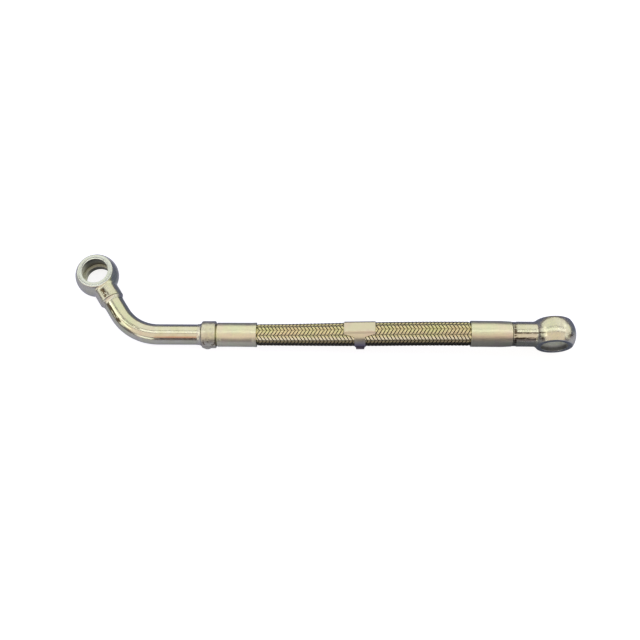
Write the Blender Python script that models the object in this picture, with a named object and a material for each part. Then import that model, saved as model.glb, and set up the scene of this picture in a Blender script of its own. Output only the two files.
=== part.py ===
# Turbo coolant line: a bent steel tube and a wire-braided hose between two banjo eyes.
# Units are metres, +Z is up and the straight run of the line goes along +X.
# The line lies as it rests on a bench: on the left eye's flat, the stop collar and the right eye's ball.

from math import acos, asin, atan2, ceil, cos, floor, hypot, pi, radians, sin, sqrt, tan

import bmesh
import bpy
from mathutils import Matrix, Vector

MM = 0.001

# Clearance that every fit keeps, and the roundness of turned work
FIT_GAP = 0.3 * MM
BIG_SEGMENTS = 32
SMALL_SEGMENTS = 20

# Banjo eyes: a ball with two ground flats, bored for the bolt
EYE_RADIUS = 11.8 * MM
EYE_THICKNESS = 13.8 * MM
BOLT_BORE_RADIUS = 7.1 * MM
BORE_CHAMFER = 0.2 * MM
GROOVE_DEPTH = 1.3 * MM
GROOVE_WIDTH = 6.4 * MM
NECK_FILLET = 2.3 * MM
NECK_END_ROUND = 0.5 * MM
BALL_STEPS = 12
FILLET_STEPS = 3

# Bent tube and the neck that it is seated in
TUBE_RADIUS = 5.5 * MM
TUBE_WALL = 1.5 * MM
NECK_WALL = 0.87 * MM
NECK_LENGTH = 17.6 * MM
SOCKET_DEPTH = 7.0 * MM
BEND_ANGLE = radians(57.0)
BEND_RADIUS = 26.0 * MM
EYE_TO_CORNER = 41.2 * MM
CORNER_TO_COLLAR = 37.9 * MM
BEND_STEP = radians(6.0)

# Stop collar on the end of the tube
COLLAR_WALL = 1.5 * MM
COLLAR_LENGTH = 7.6 * MM
COLLAR_ROUND = 0.9 * MM
COLLAR_SEAT = 5.8 * MM
LUMP_RADIUS = 3.2 * MM
LUMP_RISE = 0.6 * MM
LUMP_FROM_FACE = 2.9 * MM
LUMP_ANGLE = radians(105.0)

# Braze fillets round the tube
BRAZE_HEIGHT = 0.55 * MM
BRAZE_LENGTH = 1.1 * MM
BRAZE_STEPS = 3

# Hose: liner, braid and the growth of both along the first part of the free hose
HOSE_BORE_RADIUS = 3.65 * MM
LINER_WALL = 1.1 * MM
BRAID_WALL = 0.35 * MM
RIDGE_HEIGHT = 0.45 * MM
CRIMPED_RIDGE_HEIGHT = 0.15 * MM
LINER_SQUEEZE = 0.4 * MM
HOSE_GROWTH = 0.65 * MM
HOSE_GROWTH_END = 0.6
HOSE_EXPOSED = 114.0 * MM
CRIMP_RELEASE = 1.5 * MM
HOSE_STEP = 19.0 * MM

# Herringbone of the braid
BRAID_ROWS = 12
BRAID_PITCH = 1.93 * MM
BRAID_START_ANGLE = radians(27.0)
BRAID_TUCK = 0.35
BRAID_HIDDEN = 3.0 * MM

# Crimp ferrules and the lips that lock them
LEFT_FERRULE_LENGTH = 21.4 * MM
LEFT_FERRULE_WALL = 1.05 * MM
LEFT_MOUTH_FLARE = 0.15 * MM
LEFT_MOUTH_LENGTH = 2.0 * MM
RIGHT_FERRULE_LENGTH = 21.9 * MM
RIGHT_FERRULE_WALL = 0.85 * MM
RIGHT_TAIL_DROP = 0.3 * MM
RIGHT_TAIL_LENGTH = 5.6 * MM
LIP_THICKNESS = 1.5 * MM
FERRULE_ROUND = 0.6 * MM

# Barbed tails inside the hose
TAIL_WALL = 0.7 * MM
BARB_HEIGHT = 0.4 * MM
BARB_COUNT = 4
BARB_RELIEF = 0.25
LOCK_STEP = 0.9 * MM
TAIL_END_MARGIN = 2.5 * MM
SHANK_LENGTH = 11.0 * MM
FLANGE_STAND_OUT = 0.15 * MM

# Right eye's neck and the shallow groove behind the ferrule
RIGHT_NECK_LENGTH = 19.8 * MM
STEP_LENGTH = 2.2 * MM
STEP_DEPTH = 0.18 * MM

# ID band
BAND_THICKNESS = 0.4 * MM
BAND_FROM_MOUTH = 47.1 * MM
BAND_WIDTH = 16.8 * MM
STRAP_WIDTH = 6.4 * MM
EAR_WIDTH = 4.8 * MM
EAR_RISE = 0.9 * MM
EAR_ANGLE = radians(111.0)
EAR_SPAN = radians(15.0)
PLATE_BACK = radians(-62.0)
PLATE_FRONT = radians(19.0)
PLATE_TAPER = radians(17.0)
FLAT_CENTRE = radians(-15.0)
FLAT_HALF = radians(22.0)
FLAT_FADE = radians(14.0)
BAND_STEP = radians(7.5)

# Radii that follow from the sizes above
NECK_RADIUS = TUBE_RADIUS + FIT_GAP + NECK_WALL
TUBE_BORE_RADIUS = TUBE_RADIUS - TUBE_WALL
COLLAR_BORE_RADIUS = TUBE_RADIUS + FIT_GAP
COLLAR_RADIUS = COLLAR_BORE_RADIUS + COLLAR_WALL
BARB_TIP_RADIUS = HOSE_BORE_RADIUS - FIT_GAP
BARB_ROOT_RADIUS = BARB_TIP_RADIUS - BARB_HEIGHT
SHANK_RADIUS = TUBE_BORE_RADIUS - FIT_GAP
TAIL_BORE_RADIUS = min(SHANK_RADIUS, BARB_ROOT_RADIUS) - TAIL_WALL
LOCK_RADIUS = BARB_TIP_RADIUS + LOCK_STEP
LIP_BORE_RADIUS = LOCK_RADIUS + FIT_GAP
EYE_HALF = EYE_THICKNESS / 2

# Stations along the straight run, measured from the corner where the neck's axis meets it
COLLAR_START = CORNER_TO_COLLAR
COLLAR_END = COLLAR_START + COLLAR_LENGTH
TUBE_END = COLLAR_START + COLLAR_SEAT
FLANGE_START = TUBE_END + FIT_GAP
FLANGE_END = COLLAR_END + FLANGE_STAND_OUT
LEFT_FERRULE_START = FLANGE_END + FIT_GAP
LEFT_HOSE_END = LEFT_FERRULE_START + LIP_THICKNESS + FIT_GAP
LEFT_MOUTH = LEFT_FERRULE_START + LEFT_FERRULE_LENGTH
RIGHT_MOUTH = LEFT_MOUTH + HOSE_EXPOSED
RIGHT_FERRULE_END = RIGHT_MOUTH + RIGHT_FERRULE_LENGTH
RIGHT_HOSE_END = RIGHT_FERRULE_END - LIP_THICKNESS - FIT_GAP
STEP_START = RIGHT_FERRULE_END + FIT_GAP
RIGHT_EYE_STATION = STEP_START + STEP_LENGTH + RIGHT_NECK_LENGTH


def run_rise():
    # The run rises from the corner until the collar's first edge touches the bench
    reach = hypot(COLLAR_START, COLLAR_RADIUS)
    return atan2(COLLAR_RADIUS, COLLAR_START) - asin(EYE_HALF / reach)


RUN_RISE = run_rise()
CORNER = Vector((0, 0, EYE_HALF))
RUN_DIRECTION = Vector((cos(RUN_RISE), 0, sin(RUN_RISE)))
NECK_DIRECTION = Vector((cos(BEND_ANGLE), -sin(BEND_ANGLE), 0))
LEFT_EYE_CENTRE = CORNER - NECK_DIRECTION * EYE_TO_CORNER
FRONT = Vector((0, -1, 0))


def smooth(value):
    value = min(max(value, 0.0), 1.0)
    return value * value * (3 - 2 * value)


def run_point(station):
    # Centre of the run: straight to the left mouth, one easy curve along the hose, then level
    left = CORNER + RUN_DIRECTION * LEFT_MOUTH
    rise = EYE_RADIUS - left.z
    span = sqrt(HOSE_EXPOSED ** 2 - rise ** 2)
    right = left + Vector((span, 0, rise))
    if station <= LEFT_MOUTH:
        return CORNER + RUN_DIRECTION * station
    if station >= RIGHT_MOUTH:
        return right + Vector((station - RIGHT_MOUTH, 0, 0))
    t = (station - LEFT_MOUTH) / HOSE_EXPOSED
    start_pull = RUN_DIRECTION * HOSE_EXPOSED
    end_pull = Vector((HOSE_EXPOSED, 0, 0))
    return (left * (2 * t ** 3 - 3 * t ** 2 + 1) + start_pull * (t ** 3 - 2 * t ** 2 + t)
            + right * (3 * t ** 2 - 2 * t ** 3) + end_pull * (t ** 3 - t ** 2))


def run_frame(station):
    # Centre, direction and upward normal of the run
    probe = 0.1 * MM
    direction = (run_point(station + probe) - run_point(station - probe)).normalized()
    return run_point(station), direction, FRONT.cross(direction).normalized()


def around_run(station, angle, radius):
    # A point round the run, the angle counted from the top towards the front
    centre, _, up = run_frame(station)
    return centre + (up * cos(angle) + FRONT * sin(angle)) * radius


def hose_share(station):
    return smooth((station - LEFT_MOUTH) / (HOSE_EXPOSED * HOSE_GROWTH_END))


def crimp_share(station):
    # 1 under either ferrule, 0 along the free hose
    left = smooth((station - LEFT_MOUTH) / CRIMP_RELEASE)
    right = smooth((RIGHT_MOUTH - station) / CRIMP_RELEASE)
    return 1 - min(left, right)


def liner_radius(station):
    return (HOSE_BORE_RADIUS + LINER_WALL + HOSE_GROWTH * hose_share(station)
            - LINER_SQUEEZE * crimp_share(station))


def braid_bore_radius(station):
    return liner_radius(station) + FIT_GAP


def braid_root_radius(station):
    return braid_bore_radius(station) + BRAID_WALL


def braid_crest_radius(station):
    share = crimp_share(station)
    return braid_root_radius(station) + RIDGE_HEIGHT * (1 - share) + CRIMPED_RIDGE_HEIGHT * share


def make_material(name, colour, roughness, metallic):
    material = bpy.data.materials.new(name)
    material.use_nodes = True
    shader = material.node_tree.nodes["Principled BSDF"]
    shader.inputs["Base Color"].default_value = (*colour, 1)
    shader.inputs["Roughness"].default_value = roughness
    shader.inputs["Metallic"].default_value = metallic
    material.diffuse_color = (*colour, 1)
    return material


def add_object(name, bm, material, parent):
    bmesh.ops.remove_doubles(bm, verts=bm.verts, dist=0.001 * MM)
    bmesh.ops.recalc_face_normals(bm, faces=bm.faces)
    mesh = bpy.data.meshes.new(name)
    bm.to_mesh(mesh)
    bm.free()
    mesh.shade_smooth()
    mesh.set_sharp_from_angle(angle=radians(35))
    if material:
        mesh.materials.append(material)
    obj = bpy.data.objects.new(name, mesh)
    bpy.context.scene.collection.objects.link(obj)
    obj.parent = parent
    return obj


def add_empty(name, location, rotation, parent=None):
    empty = bpy.data.objects.new(name, None)
    bpy.context.scene.collection.objects.link(empty)
    empty.location = location
    empty.rotation_euler = rotation
    empty.parent = parent
    return empty


def rounded_outline(corners, arc_points=3):
    # Corners are (along, radius, round); each round becomes an arc tangent to both sides
    outline = []
    count = len(corners)
    for index, (along, radius, round_radius) in enumerate(corners):
        here = Vector((along, radius))
        if round_radius == 0:
            outline.append(here)
            continue
        before = Vector(corners[index - 1][:2]) - here
        after = Vector(corners[(index + 1) % count][:2]) - here
        half = before.angle(after) / 2
        reach = min(round_radius / tan(half), before.length * 0.45, after.length * 0.45)
        true_round = reach * tan(half)
        centre = here + (before.normalized() + after.normalized()).normalized() * (true_round / sin(half))
        first = here + before.normalized() * reach - centre
        last = here + after.normalized() * reach - centre
        turn = first.angle_signed(last)
        for step in range(arc_points + 1):
            arm = first.copy()
            arm.rotate(Matrix.Rotation(-turn * step / arc_points, 2))
            outline.append(centre + arm)
    return outline


def arc_outline(centre, radius, start, end, steps):
    return [Vector((centre[0] + radius * cos(start + (end - start) * i / steps),
                    centre[1] + radius * sin(start + (end - start) * i / steps)))
            for i in range(steps + 1)]


def turned_mesh(outline, segments, closed=True):
    # Spins an outline of (along, radius) points round the X axis
    bm = bmesh.new()
    verts = [bm.verts.new((point[0], 0, point[1])) for point in outline]
    edges = [bm.edges.new(pair) for pair in zip(verts, verts[1:])]
    if closed:
        edges.append(bm.edges.new((verts[-1], verts[0])))
    bmesh.ops.spin(bm, geom=verts + edges, cent=(0, 0, 0), axis=(1, 0, 0),
                   angle=2 * pi, steps=segments, use_merge=True)
    bmesh.ops.remove_doubles(bm, verts=bm.verts, dist=0.001 * MM)
    return bm


def ring_mesh(rings):
    # Joins a closed chain of rings: outside forwards, inside back, ending where it began
    bm = bmesh.new()
    rows = [[bm.verts.new(point) for point in ring] for ring in rings]
    for row, following in zip(rows, rows[1:] + rows[:1]):
        for i in range(len(row)):
            j = (i + 1) % len(row)
            bm.faces.new((row[i], row[j], following[j], following[i]))
    return bm


def cut(target, cutter, operation="DIFFERENCE"):
    cutter.hide_render = True
    cutter.display_type = "WIRE"
    modifier = target.modifiers.new(cutter.name, "BOOLEAN")
    modifier.operation = operation
    modifier.solver = "EXACT"
    modifier.object = cutter


def ball_and_neck(neck_points):
    # Outline of the eye's ball and fillet about the neck's axis, followed by the neck's own points
    fillet_x = sqrt((EYE_RADIUS + NECK_FILLET) ** 2 - (NECK_RADIUS + NECK_FILLET) ** 2)
    fillet_angle = atan2(NECK_RADIUS + NECK_FILLET, fillet_x)
    ball = arc_outline((0, 0), EYE_RADIUS, pi, fillet_angle, BALL_STEPS)
    fillet = arc_outline((fillet_x, NECK_RADIUS + NECK_FILLET), NECK_FILLET, fillet_angle + pi, 1.5 * pi, FILLET_STEPS)
    ball[0] = Vector((-EYE_RADIUS, 0))
    return ball + fillet[1:] + neck_points


def eye_cutter(name, parent):
    # A spool that leaves the ball two flats, the bolt's bore with its chamfers and the coolant groove
    beyond = EYE_RADIUS * 1.5
    groove = GROOVE_WIDTH / 2
    mouth = BOLT_BORE_RADIUS + BORE_CHAMFER
    half = [
        (beyond, 0), (beyond, beyond), (EYE_HALF, beyond), (EYE_HALF, mouth),
        (EYE_HALF - BORE_CHAMFER, BOLT_BORE_RADIUS), (groove, BOLT_BORE_RADIUS),
        (groove, BOLT_BORE_RADIUS + GROOVE_DEPTH),
    ]
    outline = half + [(-along, radius) for along, radius in reversed(half)]
    bm = turned_mesh(outline, BIG_SEGMENTS, closed=False)
    bmesh.ops.rotate(bm, verts=bm.verts, cent=(0, 0, 0), matrix=Matrix.Rotation(pi / 2, 3, "Y"))
    return add_object(name, bm, None, parent)


def build_left_eye(parent, material):
    hole_end = BOLT_BORE_RADIUS * 0.6
    seat = NECK_LENGTH - SOCKET_DEPTH
    socket = TUBE_RADIUS + FIT_GAP
    outside = rounded_outline([
        (0, NECK_RADIUS, 0), (NECK_LENGTH, NECK_RADIUS, NECK_END_ROUND), (NECK_LENGTH, socket, 0),
    ])[1:]
    inside = [(seat, socket), (seat, TUBE_BORE_RADIUS), (hole_end, TUBE_BORE_RADIUS), (hole_end, 0)]
    bm = turned_mesh(ball_and_neck(outside + inside), BIG_SEGMENTS, closed=False)
    eye = add_object("left_eye", bm, material, parent)
    cut(eye, eye_cutter("left_eye_cutter", parent))
    return eye


def barbs(start, end):
    # Saw teeth from the lock neck to the tail's end, steep towards the lock
    tooth = (end - start) / BARB_COUNT
    outline = []
    for i in range(BARB_COUNT):
        outline.append((start + tooth * i, BARB_ROOT_RADIUS))
        outline.append((start + tooth * (i + BARB_RELIEF), BARB_TIP_RADIUS))
    outline.append((end, BARB_ROOT_RADIUS))
    return outline


def build_tail(parent, material):
    lock_end = LEFT_FERRULE_START + LIP_THICKNESS
    outline = [
        (TUBE_END - SHANK_LENGTH, TAIL_BORE_RADIUS), (TUBE_END - SHANK_LENGTH, SHANK_RADIUS),
        (FLANGE_START, SHANK_RADIUS), (FLANGE_START, TUBE_RADIUS), (FLANGE_END, TUBE_RADIUS),
        (FLANGE_END, LOCK_RADIUS), (lock_end, LOCK_RADIUS),
    ]
    outline += barbs(lock_end, LEFT_MOUTH - TAIL_END_MARGIN)
    outline.append((LEFT_MOUTH - TAIL_END_MARGIN, TAIL_BORE_RADIUS))
    return add_object("hose_tail", turned_mesh(outline, SMALL_SEGMENTS), material, parent)


def build_right_eye(parent, material):
    # Local +X runs from the eye to the hose, so stations count backwards from the eye's centre
    def local(station):
        return RIGHT_EYE_STATION - station

    hole_end = BOLT_BORE_RADIUS * 0.6
    step_radius = NECK_RADIUS - STEP_DEPTH
    lock_end = local(RIGHT_FERRULE_END - LIP_THICKNESS)
    tail_end = local(RIGHT_MOUTH + TAIL_END_MARGIN)
    neck = rounded_outline([
        (0, NECK_RADIUS, 0), (RIGHT_NECK_LENGTH, NECK_RADIUS, NECK_END_ROUND),
        (RIGHT_NECK_LENGTH, step_radius, 0),
    ])[1:]
    inside = [(local(STEP_START), step_radius), (local(STEP_START), LOCK_RADIUS), (lock_end, LOCK_RADIUS)]
    inside += barbs(lock_end, tail_end)
    inside += [(tail_end, TAIL_BORE_RADIUS), (hole_end, TAIL_BORE_RADIUS), (hole_end, 0)]
    bm = turned_mesh(ball_and_neck(neck + inside), BIG_SEGMENTS, closed=False)
    eye = add_object("right_eye", bm, material, parent)
    cut(eye, eye_cutter("right_eye_cutter", parent))
    return eye


def tube_stations():
    # Centres, directions and ring normals of the tube from the socket's seat to its end in the collar
    plane = NECK_DIRECTION.cross(RUN_DIRECTION).normalized()
    turn = acos(NECK_DIRECTION.dot(RUN_DIRECTION))
    tangent_length = BEND_RADIUS * tan(turn / 2)
    bend_start = CORNER - NECK_DIRECTION * tangent_length
    centre = bend_start + plane.cross(NECK_DIRECTION) * BEND_RADIUS
    seat = LEFT_EYE_CENTRE + NECK_DIRECTION * (NECK_LENGTH - SOCKET_DEPTH + FIT_GAP)
    stations = [(seat, NECK_DIRECTION)]
    steps = ceil(turn / BEND_STEP)
    for i in range(steps + 1):
        rotation = Matrix.Rotation(turn * i / steps, 3, plane)
        stations.append((centre + rotation @ (bend_start - centre), rotation @ NECK_DIRECTION))
    stations.append((CORNER + RUN_DIRECTION * TUBE_END, RUN_DIRECTION))
    return [(point, plane, plane.cross(direction)) for point, direction in stations]


def build_tube(parent, material):
    def ring(station, radius):
        point, up, side = station
        angles = [2 * pi * i / SMALL_SEGMENTS for i in range(SMALL_SEGMENTS)]
        return [point + (up * cos(angle) + side * sin(angle)) * radius for angle in angles]

    stations = tube_stations()
    outside = [ring(station, TUBE_RADIUS) for station in stations]
    inside = [ring(station, TUBE_BORE_RADIUS) for station in reversed(stations)]
    return add_object("bent_tube", ring_mesh(outside + inside), material, parent)


def build_collar(parent, material):
    outline = rounded_outline([
        (COLLAR_START, 0, 0), (COLLAR_START, COLLAR_RADIUS, COLLAR_ROUND),
        (COLLAR_END, COLLAR_RADIUS, COLLAR_ROUND), (COLLAR_END, 0, 0),
    ], arc_points=4)
    collar = add_object("stop_collar", turned_mesh(outline, BIG_SEGMENTS, closed=False), material, parent)

    bm = bmesh.new()
    bmesh.ops.create_uvsphere(bm, u_segments=16, v_segments=8, radius=LUMP_RADIUS)
    reach = COLLAR_RADIUS + LUMP_RISE - LUMP_RADIUS
    bmesh.ops.translate(bm, verts=bm.verts, vec=(
        COLLAR_START + LUMP_FROM_FACE, -reach * sin(LUMP_ANGLE), reach * cos(LUMP_ANGLE)))
    cut(collar, add_object("collar_lump", bm, None, parent), "UNION")

    beyond = COLLAR_LENGTH
    bore = [
        (COLLAR_START - beyond, 0), (COLLAR_START - beyond, COLLAR_BORE_RADIUS),
        (COLLAR_END + beyond, COLLAR_BORE_RADIUS), (COLLAR_END + beyond, 0),
    ]
    bore_mesh = turned_mesh(bore, BIG_SEGMENTS, closed=False)
    cut(collar, add_object("collar_bore_cutter", bore_mesh, None, parent))
    return collar


def build_braze(name, parent, face, material):
    # A hollow-faced fillet whose foot lies on the tube and whose back stands on the face
    inner = TUBE_RADIUS + FIT_GAP
    back = face - FIT_GAP
    outline = [(back, inner)]
    for i in range(BRAZE_STEPS + 1):
        angle = pi / 2 * i / BRAZE_STEPS
        outline.append((back - BRAZE_LENGTH * (1 - sin(angle)), inner + BRAZE_HEIGHT * (1 - cos(angle))))
    return add_object(name, turned_mesh(outline, SMALL_SEGMENTS), material, parent)


def build_left_ferrule(parent, material):
    inner = braid_crest_radius(LEFT_MOUTH) + FIT_GAP
    outer = inner + LEFT_FERRULE_WALL
    lip_end = LEFT_FERRULE_START + LIP_THICKNESS
    outline = rounded_outline([
        (LEFT_FERRULE_START, LIP_BORE_RADIUS, 0), (LEFT_FERRULE_START, outer, FERRULE_ROUND),
        (LEFT_MOUTH - LEFT_MOUTH_LENGTH, outer, 0), (LEFT_MOUTH, outer + LEFT_MOUTH_FLARE, FERRULE_ROUND / 3),
        (LEFT_MOUTH, inner, 0), (lip_end, inner, 0), (lip_end, LIP_BORE_RADIUS, 0),
    ], arc_points=2)
    return add_object("left_ferrule", turned_mesh(outline, BIG_SEGMENTS), material, parent)


def build_right_ferrule(parent, material):
    def local(station):
        return RIGHT_EYE_STATION - station

    inner = braid_crest_radius(RIGHT_MOUTH) + FIT_GAP
    outer = inner + RIGHT_FERRULE_WALL
    lip_end = local(RIGHT_FERRULE_END - LIP_THICKNESS)
    end = local(RIGHT_FERRULE_END)
    mouth = local(RIGHT_MOUTH)
    outline = rounded_outline([
        (end, LIP_BORE_RADIUS, 0), (end, outer - RIGHT_TAIL_DROP, FERRULE_ROUND / 2),
        (end + RIGHT_TAIL_LENGTH, outer, 0), (mouth, outer, FERRULE_ROUND),
        (mouth, inner, 0), (lip_end, inner, 0), (lip_end, LIP_BORE_RADIUS, 0),
    ], arc_points=2)
    return add_object("right_ferrule", turned_mesh(outline, BIG_SEGMENTS), material, parent)


def spaced(start, end, spacing):
    count = max(2, ceil((end - start) / spacing))
    return [start + (end - start) * i / count for i in range(count + 1)]


def hose_stations(spacing):
    # Close together where the crimps let go, wider along the free hose
    return ([LEFT_HOSE_END] + spaced(LEFT_MOUTH, LEFT_MOUTH + CRIMP_RELEASE, CRIMP_RELEASE / 2)
            + spaced(LEFT_MOUTH + CRIMP_RELEASE, RIGHT_MOUTH - CRIMP_RELEASE, spacing)[1:-1]
            + spaced(RIGHT_MOUTH - CRIMP_RELEASE, RIGHT_MOUTH, CRIMP_RELEASE / 2) + [RIGHT_HOSE_END])


def hose_ring(station, radius, count):
    angles = [BRAID_START_ANGLE + 2 * pi * i / count for i in range(count)]
    return [around_run(station, angle, radius) for angle in angles]


def build_liner(parent, material):
    stations = hose_stations(HOSE_STEP)
    outside = [hose_ring(station, liner_radius(station), SMALL_SEGMENTS) for station in stations]
    inside = [hose_ring(station, HOSE_BORE_RADIUS, SMALL_SEGMENTS) for station in reversed(stations)]
    return add_object("hose_liner", ring_mesh(outside + inside), material, parent)


def build_braid(parent, material):
    # Each row of the herringbone leans the other way; two columns to a row, two rings to a strand
    columns = BRAID_ROWS * 2

    def braid_ring(base, crest):
        ring = []
        for column in range(columns):
            angle = BRAID_START_ANGLE + 2 * pi * column / columns
            lean = 1 - abs(1 - column % 4 / 2)
            station = base + BRAID_PITCH * lean
            root = braid_root_radius(station)
            ridge = (braid_crest_radius(station) - root) * (1 - BRAID_TUCK * (column % 2 == 0))
            ring.append(around_run(station, angle, root + ridge * crest))
        return ring

    first = LEFT_MOUTH - BRAID_HIDDEN
    last = RIGHT_MOUTH + BRAID_HIDDEN - BRAID_PITCH
    strands = floor((last - first) / BRAID_PITCH)
    outside = [hose_ring(LEFT_HOSE_END, braid_root_radius(LEFT_HOSE_END), columns)]
    for half_strand in range(2 * strands + 1):
        outside.append(braid_ring(first + half_strand * BRAID_PITCH / 2, half_strand % 2))
    outside.append(hose_ring(RIGHT_HOSE_END, braid_root_radius(RIGHT_HOSE_END), columns))
    inside = [hose_ring(station, braid_bore_radius(station), columns)
              for station in reversed(hose_stations(HOSE_STEP))]
    return add_object("wire_braid", ring_mesh(outside + inside), material, parent)


def band_half_width(angle):
    # The plate's full width over the top, tapering at both ends to the strap
    past = max(angle - PLATE_FRONT, PLATE_BACK - angle, 0)
    share = min(past / PLATE_TAPER, 1)
    width = BAND_WIDTH + (STRAP_WIDTH - BAND_WIDTH) * share
    if abs(angle - EAR_ANGLE) <= EAR_SPAN / 2:
        width = EAR_WIDTH
    return width / 2


def band_inner_radius(angle, snug):
    # The plate is a flat facet over the top, eased back into the round strap
    off = abs(angle - FLAT_CENTRE)
    facet = snug / cos(min(off, FLAT_HALF))
    ease = 1 - smooth((off - FLAT_HALF) / FLAT_FADE)
    return snug + (facet - snug) * ease


def build_band(parent, material):
    middle = LEFT_MOUTH + BAND_FROM_MOUTH + BAND_WIDTH / 2
    snug = braid_crest_radius(middle + BAND_WIDTH / 2) + FIT_GAP
    centre, direction, up = run_frame(middle)
    ear = [EAR_ANGLE - EAR_SPAN / 2, EAR_ANGLE + EAR_SPAN / 2]
    shoulder = radians(1.0)
    angles = [PLATE_BACK - PLATE_TAPER + BAND_STEP * i for i in range(int(2 * pi / BAND_STEP))]
    angles = [a for a in angles if abs(a - EAR_ANGLE) > EAR_SPAN / 2 + 2 * shoulder]
    angles += ear + [ear[0] - shoulder, ear[1] + shoulder, PLATE_BACK, PLATE_FRONT, PLATE_FRONT + PLATE_TAPER]
    rings = []
    for angle in sorted(set(round(a, 6) for a in angles)):
        half = band_half_width(angle)
        inner = band_inner_radius(angle, snug)
        outer = inner + BAND_THICKNESS + EAR_RISE * (abs(angle - EAR_ANGLE) <= EAR_SPAN / 2 + 1e-6)
        out = up * cos(angle) + FRONT * sin(angle)
        rings.append([centre + out * inner - direction * half, centre + out * inner + direction * half,
                      centre + out * outer + direction * half, centre + out * outer - direction * half])
    return add_object("id_band", ring_mesh(rings), material, parent)


def main():
    for obj in list(bpy.data.objects):
        bpy.data.objects.remove(obj, do_unlink=True)

    zinc = make_material("yellow_zinc_steel", (0.78, 0.74, 0.58), 0.3, 1.0)
    cast_zinc = make_material("yellow_zinc_collar", (0.70, 0.68, 0.54), 0.5, 1.0)
    braze = make_material("braze_metal", (0.66, 0.60, 0.44), 0.45, 1.0)
    wire = make_material("braid_wire", (0.62, 0.55, 0.34), 0.35, 1.0)
    rubber = make_material("liner_rubber", (0.03, 0.03, 0.03), 0.7, 0.0)
    sheet = make_material("band_sheet", (0.80, 0.74, 0.60), 0.38, 1.0)

    root = add_empty("line_root", (0, 0, 0), (0, 0, 0))
    left_eye_seat = add_empty("left_eye_seat", LEFT_EYE_CENTRE, (0, 0, -BEND_ANGLE), root)
    neck_seat = add_empty("neck_seat", (NECK_LENGTH, 0, 0), (0, 0, pi), left_eye_seat)
    left_run = add_empty("left_run", CORNER, (0, -RUN_RISE, 0), root)
    right_seat = add_empty("right_eye_seat", run_point(RIGHT_EYE_STATION), (pi / 2, 0, pi), root)

    build_left_eye(left_eye_seat, zinc)
    build_tube(root, zinc)
    build_braze("neck_braze", neck_seat, 0, braze)
    build_collar(left_run, cast_zinc)
    build_braze("collar_braze", left_run, COLLAR_START, braze)
    build_tail(left_run, zinc)
    build_left_ferrule(left_run, zinc)
    build_liner(root, rubber)
    build_braid(root, wire)
    build_band(root, sheet)
    build_right_ferrule(right_seat, zinc)
    build_right_eye(right_seat, zinc)

    # The origin is the bottom centre of the whole line's box
    bpy.context.view_layer.update()
    depsgraph = bpy.context.evaluated_depsgraph_get()
    corners = []
    for obj in bpy.data.objects:
        if obj.type == "MESH" and not obj.hide_render:
            solid = obj.evaluated_get(depsgraph)
            corners += [obj.matrix_world @ vertex.co for vertex in solid.data.vertices]
    low = Vector(min(corner[i] for corner in corners) for i in range(3))
    high = Vector(max(corner[i] for corner in corners) for i in range(3))
    root.location = (-(low.x + high.x) / 2, -(low.y + high.y) / 2, -low.z)


main()
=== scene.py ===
# Turbo coolant line: a bent plated tube and a crimped, wire-braided hose between two banjo eyes
from math import acos, asin, atan2, ceil, cos, degrees, hypot, pi, radians, sin, sqrt, tan

import bmesh
import bpy
from mathutils import Matrix, Vector, noise


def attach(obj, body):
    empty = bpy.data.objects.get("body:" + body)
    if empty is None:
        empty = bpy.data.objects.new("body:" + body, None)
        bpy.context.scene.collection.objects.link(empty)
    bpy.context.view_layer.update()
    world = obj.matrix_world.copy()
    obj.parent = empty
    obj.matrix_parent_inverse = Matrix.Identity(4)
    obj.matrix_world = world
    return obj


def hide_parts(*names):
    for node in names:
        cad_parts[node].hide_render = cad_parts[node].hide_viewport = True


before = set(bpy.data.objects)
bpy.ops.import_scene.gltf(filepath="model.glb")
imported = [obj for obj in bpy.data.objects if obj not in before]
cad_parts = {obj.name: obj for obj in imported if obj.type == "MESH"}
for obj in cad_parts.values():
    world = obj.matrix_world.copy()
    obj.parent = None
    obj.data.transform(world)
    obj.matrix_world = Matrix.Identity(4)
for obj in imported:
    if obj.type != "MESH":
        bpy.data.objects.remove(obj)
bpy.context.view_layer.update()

mm = 0.001
scene = bpy.context.scene
print("frame loaded:", len(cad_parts), "nodes")

# The line's own course, in millimetres, the same as the CAD's
line = {
    "corner": Vector((-101.517, -19.238, 6.9)),  # where the neck's axis meets the run
    "leftEye": 41.2,  # from the corner back to the left eye's centre
    "bendAngle": 57.0,
    "bendRadius": 26.0,
    "eyeRadius": 11.8,
    "eyeHalf": 6.9,
    "collarStart": 37.9,
    "collarRadius": 7.3,
    "leftMouth": 67.35,
    "rightMouth": 181.35,
    "rightFerruleEnd": 203.25,
    "rightEye": 225.55,
}
reach = hypot(line["collarStart"], line["collarRadius"])
rise = atan2(line["collarRadius"], line["collarStart"]) - asin(line["eyeHalf"] / reach)
runDirection = Vector((cos(rise), 0, sin(rise)))
neckDirection = Vector((cos(radians(line["bendAngle"])), -sin(radians(line["bendAngle"])), 0))
leftEyeCentre = line["corner"] - neckDirection * line["leftEye"]
front = Vector((0, -1, 0))
exposed = line["rightMouth"] - line["leftMouth"]


def smooth(value):
    value = min(max(value, 0.0), 1.0)
    return value * value * (3 - 2 * value)


def window(value, first, last, fadeIn, fadeOut):
    return smooth((value - first) / fadeIn) * smooth((last - value) / fadeOut)


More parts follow.
